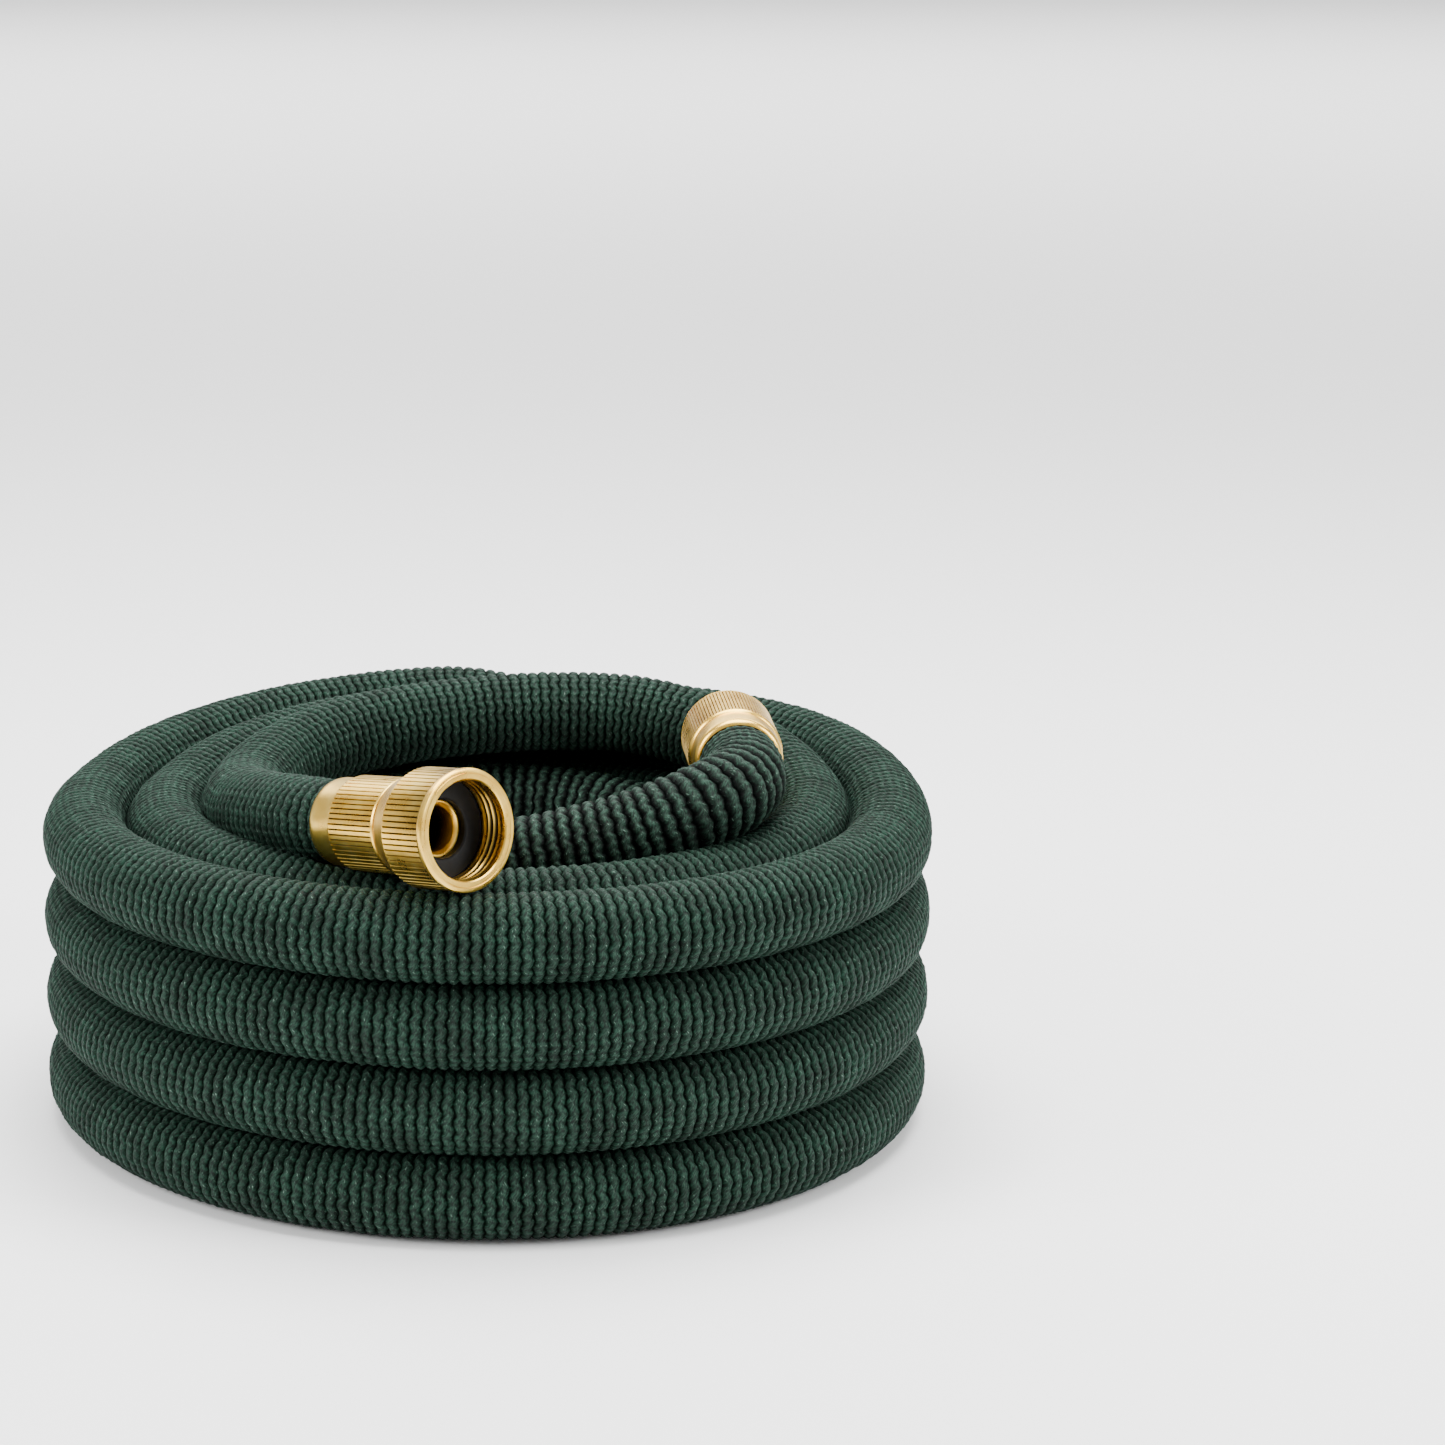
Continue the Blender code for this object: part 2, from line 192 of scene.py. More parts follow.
# Painted shade, from 0 for bright metal to 1 for dark: in cuts, down the bore, in a line at the nut's
# edge and on its rim face
DARKEST_CUT = 0.00036
BORE_RADIUS = 0.0060
BORE_BRIGHT_HEIGHT = 0.0362
BORE_FADE = 0.005
EDGE_LINE = (0.01955, 0.01985)
EDGE_LINE_RADIUS = 0.0150
EDGE_LINE_SHADE = 0.55
RIM_HEIGHT = 0.0214
RIM_RADII = (0.0130, 0.0144)
RIM_SHADE = 0.16

# Patterns. A polyester grain is (round and along in millimetres, detail, lean, lift)
EDGE_GRAIN = (1.3, 1.6, 4.0)
PATCH_GRAIN = (8.0, 12.0, 2.0, 0.0, 3.0)
STRAND_GRAIN = (1.1, 0.36, 2.0, 26.0, 5.0)
GLINT_GRAIN = (1.5, 0.30, 1.0, -24.0, 7.0)
GROOVE_WANDER = 0.42
PLY_SLANT = 7.5
PLY_HEIGHT = 0.4
YARN_RELIEF = 0.0005
CREST_GLOSS = 0.5
BRASS_CLOUD_MM = 6.25
LATHE_MARK_MM = 0.1923
LATHE_MARK_RELIEF = 0.0001
RUBBER_BLOOM_MM = 1.43
RUBBER_RELIEF = 0.0002

# Colours from the groove between two courses to the crest, dark in the groove as painted shade, and
# along each grain; the ply tones paint shade between the plies and the glint colour is a painted
# highlight
COVER_COLOURS_WITH_GROOVE_SHADE = ((0.0, "#040f09"), (0.05, "#08180f"), (0.13, "#183226"), (0.28, "#264437"))
STRETCHED_COLOURS_WITH_GROOVE_SHADE = ((0.0, "#020604"), (0.14, "#050d09"), (0.24, "#1a3227"), (0.40, "#2e4d3f"))
PLY_PAINTED_SHADE = ((0.0, "#7c8781"), (0.6, "#ffffff"))
PATCH_SHADES = ((0.3, "#9ba69f"), (0.7, "#ffffff"))
STRAND_SHADES = ((0.36, "#59655f"), (0.60, "#f2f2f2"))
GLINT_MASK = ((0.655, "#000000"), (0.72, "#ffffff"))
PAINTED_GLINT_COLOUR = "#86a393"
BRASS_COLOURS = ((0.25, "#dcab42"), (0.55, "#f2c75a"), (0.80, "#fddc7c"))
PAINTED_SHADE_COLOUR = "#2c2315"
RUBBER_COLOURS = ((0.3, "#040404"), (0.8, "#0d0d0d"))

# Sockets of a colour mix node
MIX_FACTOR, MIX_FIRST, MIX_SECOND = 0, 6, 7
MIX_RESULT = 2

# Camera: the photograph's own viewing angle. Its lens is shifted, so the coil stands left of centre
IMAGE_SIZE = 1445
FOCAL_PIXELS = 3817.8
SENSOR_WIDTH = 36.0
NEAREST_SEEN = 0.01
CAMERA_PLACE = Vector((-0.0044, -1.01805, 0.35080))
CAMERA_TARGET = Vector((-0.0044, 0.0, 0.10545))
LENS_SHIFT = (0.17385, 0.00346)

# Studio: lights as (name, place, point they face, size, watts)
FLOOR_REACH = 12.0
FLOOR_DROP = 0.0002
WORLD_STRENGTH = 0.70
AREA_LIGHTS = (
    ("top_softbox", (0.05, 0.10, 1.1), (0, 0, 0.05), (0.9, 0.9), 35.0),
    ("left_softbox", (-1.15, -0.55, 0.75), (0, 0, 0.06), (0.6, 0.7), 20.0),
    ("right_softbox", (1.15, -0.40, 0.70), (0, 0, 0.06), (0.5, 0.7), 17.0),
    ("backdrop_light", (0.0, 3.8, 2.2), (0.0, 3.8, 0.0), (6.0, 3.0), 260.0),
)


def linear(hex_colour):
    """An sRGB hex colour as linear red, green, blue and alpha."""
    channels = [int(hex_colour[place:place + 2], 16) / 255 for place in (1, 3, 5)]
    values = [c / 12.92 if c <= 0.04045 else ((c + 0.055) / 1.055) ** 2.4 for c in channels]
    return (*values, 1.0)


def feed(material, node, inputs):
    """Give a node its inputs: each is a number, a hex colour or another node's output."""
    for key, value in inputs.items():
        if isinstance(value, bpy.types.NodeSocket):
            material.node_tree.links.new(value, node.inputs[key])
        else:
            node.inputs[key].default_value = linear(value) if isinstance(value, str) else value


def add_node(material, kind, inputs=None, stops=(), **settings):
    """Add one node with its settings and inputs. Stops are a colour ramp's (position, hex colour)."""
    node = material.node_tree.nodes.new(kind)
    for name, value in settings.items():
        setattr(node, name, value)
    feed(material, node, inputs or {})
    if stops:
        elements = node.color_ramp.elements
        while len(elements) < len(stops):
            elements.new(0.5)
        for element, (position, colour) in zip(elements, stops):
            element.position = position
            element.color = linear(colour)
    return node


def new_material(name):
    material = bpy.data.materials.new(name)
    material.use_nodes = True
    return material, material.node_tree.nodes["Principled BSDF"]


def knitted_polyester(name, rib_pitch, colours):
    """Knitted two-ply polyester yarn: matt green, painted dark as shade between courses and between
    plies, with bright glints painted on as highlights.

    The cover map runs once round the hose in U and once a course in V.
    """
    material, shader = new_material(name)
    cover_map = add_node(material, "ShaderNodeUVMap", uv_map="cover").outputs["UV"]
    split = add_node(material, "ShaderNodeSeparateXYZ", {"Vector": cover_map}).outputs
    around, course = split["X"], split["Y"]
    to_mm = add_node(material, "ShaderNodeMapping", {
        "Vector": cover_map, "Scale": (math.tau * HOSE_RADIUS * 1000, rib_pitch * 1000, 1.0),
    }).outputs["Vector"]

    def grain(round_mm, along_mm, detail, lean=0.0, lift=0.0):
        """Noise with a grain of these sizes in millimetres, leaning by degrees."""
        turned = add_node(material, "ShaderNodeMapping", {
            "Vector": to_mm, "Rotation": (0.0, 0.0, math.radians(lean)),
        }).outputs["Vector"]
        placed = add_node(material, "ShaderNodeMapping", {
            "Vector": turned, "Location": (lift, lift, lift), "Scale": (1 / round_mm, 1 / along_mm, 1.0),
        }).outputs["Vector"]
        return add_node(material, "ShaderNodeTexNoise", {
            "Vector": placed, "Scale": 1.0, "Detail": detail,
        }).outputs["Fac"]

    crest = add_node(material, "ShaderNodeMath", {0: course, 1: 0.5}, operation="PINGPONG").outputs[0]
    wander = add_node(
        material, "ShaderNodeMath", {0: grain(*EDGE_GRAIN), 1: 0.5}, operation="SUBTRACT",
    ).outputs[0]
    edge = add_node(
        material, "ShaderNodeMath", {0: wander, 1: GROOVE_WANDER, 2: crest}, operation="MULTIPLY_ADD",
    ).outputs[0]

    # The two plies twist round each other, so their bright bands slant across a course; the bright bands
    # and the dark between them are painted highlight and painted shade, and the bands also give the bump
    fold = add_node(material, "ShaderNodeMath", {0: 0.5, 1: crest}, operation="SUBTRACT").outputs[0]
    slant = add_node(
        material, "ShaderNodeMath", {0: fold, 1: PLY_SLANT}, operation="MULTIPLY",
    ).outputs[0]
    twist = add_node(
        material, "ShaderNodeMath", {0: around, 1: 2 * STITCHES_ROUND * math.tau, 2: slant},
        operation="MULTIPLY_ADD",
    ).outputs[0]
    wave = add_node(material, "ShaderNodeMath", {0: twist}, operation="SINE").outputs[0]
    ply = add_node(
        material, "ShaderNodeMath", {0: wave, 1: 0.5, 2: 0.5}, operation="MULTIPLY_ADD",
    ).outputs[0]

    strand = grain(*STRAND_GRAIN)
    # Painted shade: the cover ramp darkens towards the groove between courses and lightens to the crest
    base = add_node(material, "ShaderNodeValToRGB", {"Fac": edge}, colours).outputs["Color"]
    # The ply tones paint shade between the plies; the patch and strand grains are the yarn's own uneven
    # tone
    for share, pattern, shades in (
        (0.6, ply, PLY_PAINTED_SHADE),
        (0.8, grain(*PATCH_GRAIN), PATCH_SHADES),
        (0.9, strand, STRAND_SHADES),
    ):
        shade = add_node(material, "ShaderNodeValToRGB", {"Fac": pattern}, shades).outputs["Color"]
        base = add_node(
            material, "ShaderNodeMix", {MIX_FACTOR: share, MIX_FIRST: base, MIX_SECOND: shade},
            data_type="RGBA", blend_type="MULTIPLY",
        ).outputs[MIX_RESULT]

    # Painted glints: bright highlights set on the crests, where both the ply and the course are high
    painted_glint = add_node(
        material, "ShaderNodeValToRGB", {"Fac": grain(*GLINT_GRAIN)}, GLINT_MASK,
    ).outputs["Color"]
    raised = add_node(material, "ShaderNodeMath", {0: ply, 1: edge}, operation="MULTIPLY").outputs[0]
    glint_share = add_node(material, "ShaderNodeMath", {0: painted_glint, 1: raised}, operation="MULTIPLY").outputs[0]
    base = add_node(
        material, "ShaderNodeMix", {MIX_FACTOR: glint_share, MIX_FIRST: base, MIX_SECOND: PAINTED_GLINT_COLOUR},
        data_type="RGBA", blend_type="MIX",
    ).outputs[MIX_RESULT]

    height = add_node(
        material, "ShaderNodeMath", {0: ply, 1: PLY_HEIGHT, 2: strand}, operation="MULTIPLY_ADD",
    ).outputs[0]
    bump = add_node(
        material, "ShaderNodeBump", {"Height": height, "Strength": 1.0, "Distance": YARN_RELIEF},
    ).outputs["Normal"]
    gloss = add_node(
        material, "ShaderNodeMath", {0: crest, 1: CREST_GLOSS}, operation="MULTIPLY",
    ).outputs[0]
    feed(material, shader, {
        "Base Color": base, "Normal": bump, "Specular IOR Level": gloss, "Roughness": 0.75,
    })
    return material


def turned_brass(name):
    """Turned and knurled brass, unlacquered: warm satin metal with lathe marks, painted dark as shade in
    its cuts, down its bore, at the nut's edge line and on its rim face.
    """
    material, shader = new_material(name)
    place = add_node(material, "ShaderNodeAttribute", attribute_name="turning").outputs["Vector"]
    cloud = add_node(material, "ShaderNodeTexNoise", {
        "Vector": place, "Scale": 1000 / BRASS_CLOUD_MM, "Detail": 4.0,
    }).outputs["Fac"]
    tone = add_node(material, "ShaderNodeValToRGB", {"Fac": cloud}, BRASS_COLOURS).outputs["Color"]
    # Painted shade, read from the cut attribute: dark in cuts, down the bore, at the nut's edge line and
    # on its rim face
    painted_shade = add_node(material, "ShaderNodeAttribute", attribute_name="cut").outputs["Fac"]
    colour = add_node(
        material, "ShaderNodeMix",
        {MIX_FACTOR: painted_shade, MIX_FIRST: tone, MIX_SECOND: PAINTED_SHADE_COLOUR},
        data_type="RGBA", blend_type="MIX",
    ).outputs[MIX_RESULT]

    # Lathe marks are rings, so their noise changes with the height alone
    height = add_node(material, "ShaderNodeSeparateXYZ", {"Vector": place}).outputs["Z"]
    ring = add_node(material, "ShaderNodeCombineXYZ", {"Z": height}).outputs["Vector"]
    marks = add_node(material, "ShaderNodeTexNoise", {
        "Vector": ring, "Scale": 1000 / LATHE_MARK_MM, "Detail": 3.0,
    }).outputs["Fac"]
    bump = add_node(material, "ShaderNodeBump", {
        "Height": marks, "Strength": 0.10, "Distance": LATHE_MARK_RELIEF,
    }).outputs["Normal"]
    dull = add_node(material, "ShaderNodeMapRange", {
        "Value": cloud, "To Min": 0.21, "To Max": 0.36,
    }).outputs["Result"]
    feed(material, shader, {
        "Base Color": colour, "Normal": bump, "Roughness": dull, "Metallic": 1.0,
    })
    return material


def moulded_rubber(name):
    """Moulded EPDM washer: matt black with a faint bloom."""
    material, shader = new_material(name)
    place = add_node(material, "ShaderNodeAttribute", attribute_name="turning").outputs["Vector"]
    bloom = add_node(material, "ShaderNodeTexNoise", {
        "Vector": place, "Scale": 1000 / RUBBER_BLOOM_MM, "Detail": 5.0,
    }).outputs["Fac"]
    tone = add_node(material, "ShaderNodeValToRGB", {"Fac": bloom}, RUBBER_COLOURS).outputs["Color"]
    bump = add_node(material, "ShaderNodeBump", {
        "Height": bloom, "Strength": 0.2, "Distance": RUBBER_RELIEF,
    }).outputs["Normal"]
    feed(material, shader, {
        "Base Color": tone, "Normal": bump, "Roughness": 0.55, "Specular IOR Level": 0.22,
    })
    return material


def smooth_step(value):
    value = min(1.0, max(0.0, value))
    return value * value * (3 - 2 * value)


def turn_radius(turn):
    return OUTER_TURN_RADIUS - turn * TURN_SPACING


def layer_height(layer):
    return FIRST_LAYER_HEIGHT + layer * LAYER_PITCH


def through(points, step):
    """Points at an even step along a smooth curve through the given ones."""
    spots = np.array([tuple(point) for point in points], dtype=float)
    fine = []
    for index in range(len(spots) - 1):
        before = spots[max(index - 1, 0)]
        start = spots[index]
        end = spots[index + 1]
        after = spots[min(index + 2, len(spots) - 1)]
        for t in np.linspace(0.0, 1.0, STEPS_A_POINT, endpoint=False):
            bend = 2 * before - 5 * start + 4 * end - after
            twist = 3 * start - before - 3 * end + after
            fine.append(0.5 * (2 * start + (end - before) * t + bend * t ** 2 + twist * t ** 3))
    fine.append(spots[-1])
    fine = np.array(fine)
    run = np.concatenate(([0.0], np.cumsum(np.linalg.norm(np.diff(fine, axis=0), axis=1))))
    count = max(2, round(run[-1] / step))
    places = np.linspace(0.0, run[-1], count + 1)
    return np.stack([np.interp(places, run, fine[:, axis]) for axis in range(3)], axis=1)


def ring_points(start, end, radius, height, radius_to, height_to):
    """Points clockwise round the coil from start to end degrees, easing to a new turn."""
    count = max(1, round((start - end) / DEGREES_A_POINT))
    points = []
    for index in range(count):
        share = smooth_step(index / count)
        angle = math.radians(start + (end - start) * index / count)
        here = radius + (radius_to - radius) * share
        level = height + (height_to - height) * share
        slack = BACK_RISE * min(1.0, (level - FIRST_LAYER_HEIGHT) / (2 * LAYER_PITCH))
        rise = slack * max(0.0, math.sin(angle + RISE_TURN))
        points.append((here * math.cos(angle), here * math.sin(angle), level + rise))
    return points


def wound_points(winding):
    """Points along the stays of a winding and along the crossings between them."""
    points = []
    for index, (turn, layer, start, end) in enumerate(winding):
        here = (turn_radius(turn), layer_height(layer))
        points += ring_points(start, end, *here, *here)
        if index + 1 < len(winding):
            turn_next, layer_next, start_next, _ = winding[index + 1]
            there = (turn_radius(turn_next), layer_height(layer_next))
            points += ring_points(end, start_next, *here, *there)
    return points


def centre_line(points, row):
    """Points a row apart along the hose, with the tangent and two cross directions at each."""
    path = through(points, row)
    tangents = np.gradient(path, axis=0)
    tangents /= np.linalg.norm(tangents, axis=1)[:, None]
    side = np.cross(tangents[0], (0.0, 0.0, 1.0))
    sides = []
    for tangent in tangents:
        side = side - tangent * np.dot(side, tangent)
        side /= np.linalg.norm(side)
        sides.append(side)
    sides = np.array(sides)
    return np.stack([path, tangents, sides, np.cross(tangents, sides)], axis=1)


def inlet_line():
    """The hose from the inlet coupling: top turns first, then down the outside, then up inside."""
    tail = INLET_FACE_CENTRE - INLET_AXIS * INLET_LENGTH
    points = [tuple(tail + INLET_AXIS * HOSE_TUCK), tuple(tail - INLET_AXIS * HOSE_RADIUS)]
    points += [*INLET_ROUTE, *wound_points(INLET_WINDING)]
    return centre_line(points, RIB_PITCH / ROWS_A_RIB)


def outlet_line():
    """The hose from the outlet fitting, round the inside of the coil and down to the floor."""
    turn, layer, start, _ = OUTLET_WINDING[0]
    inner = turn_radius(turn)
    points = [
        tuple(OUTLET_REAR_CENTRE + OUTLET_AXIS * HOSE_TUCK),
        tuple(OUTLET_REAR_CENTRE - OUTLET_AXIS * HOSE_RADIUS),
        *OUTLET_ROUTE[:-1],
    ]
    points += ring_points(
        OUTLET_LANDING_DEGREES, start, inner, OUTLET_LANDING_HEIGHT, inner, layer_height(layer),
    )
    points += wound_points(OUTLET_WINDING)
    return centre_line(points, OUTLET_RIB_PITCH / ROWS_A_RIB)


def cut_line(line, lengths, pitch):
    """Cut a centre line into runs of about these lengths, each cut in a groove between ribs."""
    start = 0
    runs = []
    for length in lengths:
        last = (len(line) - 1) // ROWS_A_RIB * ROWS_A_RIB
        stop = min(start + round(length / pitch) * ROWS_A_RIB, last)
        runs.append(line[start:stop + 1])
        start = stop
    return runs


def press_away(places, beds):
    """Move the points that lie inside a bed's round bar out to its surface."""
    for start, end, radius in beds:
        along = end - start
        share = np.clip((places - start) @ along / (along @ along), 0.0, 1.0)
        nearest = start + share[:, None] * along
        offset = places - nearest
        distance = np.linalg.norm(offset, axis=1)
        inside = distance < radius
        places[inside] = (nearest + offset / distance[:, None] * radius)[inside]
    return places


def knitted_tube(name, line, material, stitches, sides_a_stitch, depth, pairing, beds, beds_from,
                 neck):
    """A knitted cover: a sheet of courses, wrapped round the line and swayed at each stitch.

    Pairing draws every two ribs together on one side, as where the cover is stretched. From the
    row beds_from, the cover gives way to the beds.
    """
    dice = random.Random(name)
    rows = len(line) - 1
    ribs = rows // ROWS_A_RIB
    sides = stitches * sides_a_stitch
    sheet = bmesh.new()
    bmesh.ops.create_grid(sheet, x_segments=rows, y_segments=sides, size=0.5, calc_uvs=False)
    mesh = bpy.data.meshes.new(name)
    sheet.loops.layers.uv.new("cover")
    sheet.to_mesh(mesh)
    sheet.free()

    flat = np.empty(len(mesh.vertices) * 3)
    mesh.vertices.foreach_get("co", flat)
    flat = flat.reshape(-1, 3)
    row = np.rint((flat[:, 0] + 0.5) * rows).astype(int)
    round_share = flat[:, 1] + 0.5
    turn = round_share * math.tau
    rib_place = row / ROWS_A_RIB
    rib_index = np.minimum(row // ROWS_A_RIB, ribs - 1)
    drift = np.cumsum([dice.uniform(-STITCH_DRIFT, STITCH_DRIFT) for _ in range(ribs)])
    fullness = np.array([dice.uniform(*RIB_FULLNESS) for _ in range(ribs)])
    bulge = np.array([dice.uniform(0.0, math.tau) for _ in range(ribs)])
    crest = 0.5 - 0.5 * np.cos(math.tau * rib_place)
    shift = drift[rib_index] * DRIFT_SHARE
    phase = bulge[rib_index]

    wave = stitches * turn + shift
    slow, quick = SWAY_UNEVENNESS
    uneven = 1.0 + slow * np.sin(3 * turn + phase) + quick * np.sin(7 * turn - phase)
    sway = STITCH_SWAY * uneven * np.sin(wave) * np.where((row > 0) & (row < rows), 1.0, 0.0)
    drawn = 0.5 + 0.5 * np.sin(turn + 0.3 * np.sin(phase))
    sway += pairing * (1 - 2 * (rib_index % 2)) * crest * drawn
    loops = LOOP_HEIGHT * np.cos(wave * 2) + RIPPLE_HEIGHT * np.sin(5 * turn + 2 * phase)
    relief = depth * (crest ** RIB_ROUNDNESS * fullness[rib_index] + loops * crest)
    run = row * float(np.linalg.norm(line[1, 0] - line[0, 0]))
    radius = HOSE_RADIUS - depth + relief - neck * np.exp(-run / NECK_RUN)
    frame_here = line[row]
    places = (
        frame_here[:, 0]
        + sway[:, None] * frame_here[:, 1]
        + (radius * np.cos(turn))[:, None] * frame_here[:, 2]
        + (radius * np.sin(turn))[:, None] * frame_here[:, 3]
    )
    free = row < beds_from
    places = np.where(free[:, None], places, press_away(places.copy(), beds))
    places[:, 2] = np.maximum(places[:, 2], 0.0)
    mesh.vertices.foreach_set("co", places.ravel())

    corners = np.empty(len(mesh.loops), dtype=np.int32)
    mesh.loops.foreach_get("vertex_index", corners)
    cover_map = np.stack([round_share + shift / stitches / math.tau, rib_place], axis=1)
    mesh.uv_layers["cover"].uv.foreach_set("vector", cover_map[corners].ravel())

    shape = bmesh.new()
    shape.from_mesh(mesh)
    bmesh.ops.remove_doubles(shape, verts=shape.verts, dist=MERGE)
    bmesh.ops.holes_fill(shape, edges=[edge for edge in shape.edges if edge.is_boundary], sides=0)
    bmesh.ops.recalc_face_normals(shape, faces=shape.faces)
    for face in shape.faces:
        face.smooth = len(face.verts) == 4
    shape.to_mesh(mesh)
    shape.free()
    mesh.materials.append(material)
    tube = bpy.data.objects.new(name, mesh)
    bpy.context.scene.collection.objects.link(tube)
    return tube


def declare_hose(piece, line):
    path = line[:, 0]
    length = float(np.sum(np.linalg.norm(np.diff(path, axis=0), axis=1)))
    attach(piece, "hose")


def build_runs(line, runs, stretch_node, cover, pitch, depth, pairing, beds):
    """Knit the runs of one line: first the free stretch with its neck, then the wound coil."""
    free_rows = round(FREE_LENGTH / (pitch / ROWS_A_RIB))
    pieces = cut_line(line, [length for _, length, _ in runs], pitch)
    for index, ((name, _, stitching), run) in enumerate(zip(runs, pieces)):
        tube = knitted_tube(
            name, run, cover, **stitching, depth=depth, pairing=pairing,
            beds=beds if index < RUNS_IN_BEDS else (), beds_from=0 if index else free_rows,
            neck=0.0 if index else NECK,
        )
        declare_hose(tube, run)
        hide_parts("hose_coil" if index else stretch_node)


def build_hose(cover, stretched_cover):
    """One hose in ten runs, spliced in the grooves between ribs."""
    tail = INLET_FACE_CENTRE - INLET_AXIS * INLET_LENGTH
    nut_back = tail + INLET_AXIS * NUT_START
    outlet_end = OUTLET_REAR_CENTRE + OUTLET_AXIS * OUTLET_LENGTH
    beds = (
        (np.array(tail), np.array(nut_back), GRIP_BED_RADIUS),
        (np.array(nut_back), np.array(INLET_FACE_CENTRE), NUT_BED_RADIUS),
        (np.array(OUTLET_REAR_CENTRE), np.array(outlet_end), FITTING_BED_RADIUS),
    )
    build_runs(
        inlet_line(), INLET_RUNS, "hose_inlet_stretch", cover, RIB_PITCH, RIB_DEPTH, 0.0, beds,
    )
    build_runs(
        outlet_line(), OUTLET_RUNS, "hose_outlet_stretch", stretched_cover, OUTLET_RIB_PITCH,
        OUTLET_RIB_DEPTH, OUTLET_RIB_PAIRING, (),
    )


def turned_piece(name, profile, steps, matrix, material, relief=None, painted_shade=None):
    """Spin a closed profile of (radius, height) points in millimetres, with relief cut into it.

    The material is painted darker as shade where the relief is deep, and by the painted shade of a
    (radius, height).
    """
    shape = bmesh.new()
    points = [shape.verts.new((radius / 1000, 0.0, height / 1000)) for radius, height in profile]
    edges = [shape.edges.new(pair) for pair in zip(points, points[1:])]
    edges.append(shape.edges.new((points[-1], points[0])))
    bmesh.ops.spin(
        shape, geom=points + edges, cent=(0, 0, 0), axis=(0, 0, 1), angle=math.tau, steps=steps,
        use_merge=True,
    )
    bmesh.ops.remove_doubles(shape, verts=shape.verts, dist=MERGE)
    bmesh.ops.recalc_face_normals(shape, faces=shape.faces)
    shape.verts.index_update()
    painted_shade_amounts = np.zeros(len(shape.verts))
    for vertex in shape.verts:
        radius = math.hypot(vertex.co.x, vertex.co.y)
        if painted_shade:
            painted_shade_amounts[vertex.index] = painted_shade(radius, vertex.co.z)
        # Deeper cuts get more painted shade
        if relief:
            depth = relief(radius, math.atan2(vertex.co.y, vertex.co.x), vertex.co.z)
            vertex.co.xy *= (radius - depth) / radius
            painted_shade_amounts[vertex.index] = max(painted_shade_amounts[vertex.index], min(1.0, abs(depth) / DARKEST_CUT))
    mesh = bpy.data.meshes.new(name)
    shape.to_mesh(mesh)
    shape.free()
    mesh.attributes.new("cut", "FLOAT", "POINT").data.foreach_set("value", painted_shade_amounts)
    turning = mesh.attributes.new("turning", "FLOAT_VECTOR", "POINT")
    places = np.empty(len(mesh.vertices) * 3)
    mesh.vertices.foreach_get("co", places)
    turning.data.foreach_set("vector", places)
    mesh.transform(matrix)
    mesh.shade_smooth()
    mesh.set_sharp_from_angle(angle=SHARP_EDGE)
    mesh.materials.append(material)
    piece = bpy.data.objects.new(name, mesh)
    bpy.context.scene.collection.objects.link(piece)
    return piece


def knurl(count, low, high, outer):
    """Straight knurling: depth of the narrow grooves in the outer wall, between two heights."""
    def cut(radius, angle, height):
        if radius < outer - KNURL_MARGIN or not low <= height <= high:
            return 0.0
        phase = (angle / math.tau * count) % 1.0
        return KNURL_DEPTH if abs(phase - 0.5) > KNURL_LAND / 2 else 0.0
    return cut


def thread(low, high, inner, outer, depth):
    """Screw thread between two heights on the wall between two radii, fading out at its ends."""
    def cut(radius, angle, height):
        if not inner < radius < outer or not low < height < high:
            return 0.0
        turns = height / THREAD_PITCH - angle / math.tau
        fade = min(1.0, (height - low) / THREAD_PITCH, (high - height) / THREAD_PITCH)
        return depth * fade * (0.5 - 0.5 * math.cos(math.tau * turns)) ** THREAD_FULLNESS
    return cut


def spaced(start, end, count):
    return [start + (end - start) * index / count for index in range(count + 1)]


def axis_matrix(centre, axis):
    return Matrix.Translation(centre) @ axis.to_track_quat("Z", "Y").to_matrix().to_4x4()


def inlet_sleeve(matrix, brass):
    """Smooth collar, a groove, and the knurled grip that is crimped onto the hose."""
    profile = [
        (11.7, 26.8), (12.1, 26.6), (12.3, 26.2), (12.3, 26.0), (12.3, 25.9), (12.3, 9.5), (12.3, 9.4),
        (12.2, 9.1), (11.9, 8.8), (11.6, 8.6), (11.5, 8.2), (11.5, 2.6), (11.4, 1.6), (11.1, 0.7),
        (10.6, 0.2), (10.1, 0.0), (9.6, 0.3), (9.3, 1.0), (9.3, 26.8),
    ]
    steps = SLEEVE_KNURL[0] * STEPS_A_KNURL
    return turned_piece("crimp_sleeve_inlet", profile, steps, matrix, brass, knurl(*SLEEVE_KNURL))


def inlet_tailpiece(matrix, brass):
    """Stepped tube with the flange that the nut turns on. Its bore is painted darker inwards, as shade
    deeper in.
    """
    # Painted shade down the bore, darker the deeper it goes
    def painted_shade(radius, height):
        if radius >= BORE_RADIUS:
            return 0.0
        return min(1.0, max(0.0, (BORE_BRIGHT_HEIGHT - height) / BORE_FADE))

    bore_rings = [(5.9 if index % 2 else 5.75, 36.6 - 0.5 * index) for index in range(18)]
    profile = [
        (12.7, 36.5), (12.8, 36.3), (12.8, 34.2), (12.7, 34.0), (9.0, 34.0), (9.0, 0.0), (4.6, 0.0),
        (4.6, 26.8), (5.7, 27.6), *reversed(bore_rings), (6.2, 37.3), (6.6, 37.6), (7.0, 37.6),
        (7.2, 37.4), (7.2, 36.5),
    ]
    return turned_piece("barbed_tailpiece", profile, PLAIN_STEPS, matrix, brass, painted_shade=painted_shade)


